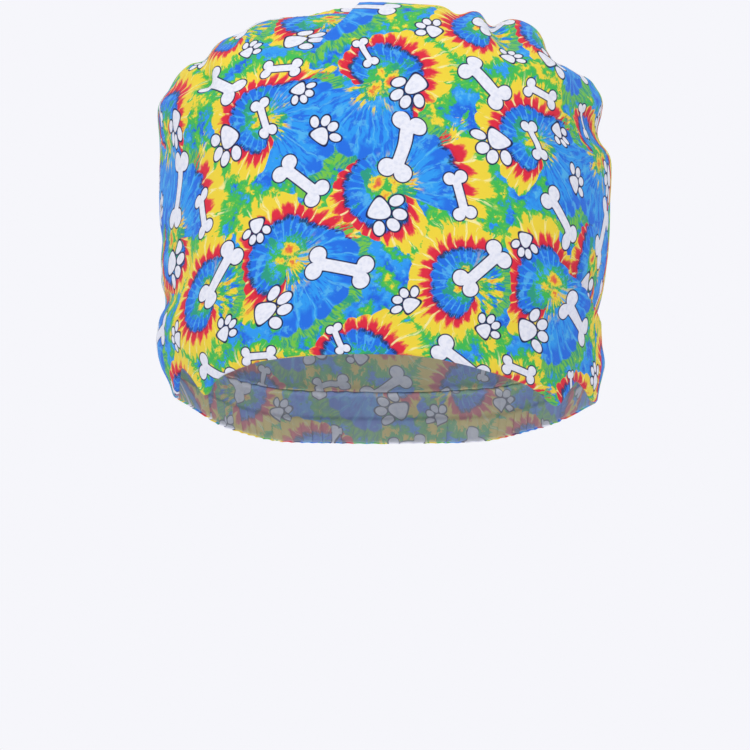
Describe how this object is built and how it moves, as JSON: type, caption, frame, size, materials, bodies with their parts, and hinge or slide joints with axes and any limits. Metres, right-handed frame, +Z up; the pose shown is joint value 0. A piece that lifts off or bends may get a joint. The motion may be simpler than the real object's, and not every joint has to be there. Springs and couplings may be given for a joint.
{
  "type": "surgical scrub cap",
  "caption": "Soft printed cotton scrub cap with an arched brow, temple tabs, full crown and gathered nape band, in the shape it takes on a head.",
  "frame": {"origin": "middle of the head opening, level with the tips of the temple tabs: the place of the mount named head", "axes": "+Z up out of the crown, -Y out of the brow, +X towards the wearer's left"},
  "size_m": [0.1806, 0.2054, 0.1718],
  "materials": {
    "printed_cotton": "matte"
  },
  "bodies": {
    "root": {"front_panel": "printed_cotton", "back_panel": "printed_cotton", "crown": "printed_cotton", "nape_band": "printed_cotton"}
  },
  "joints": []
}
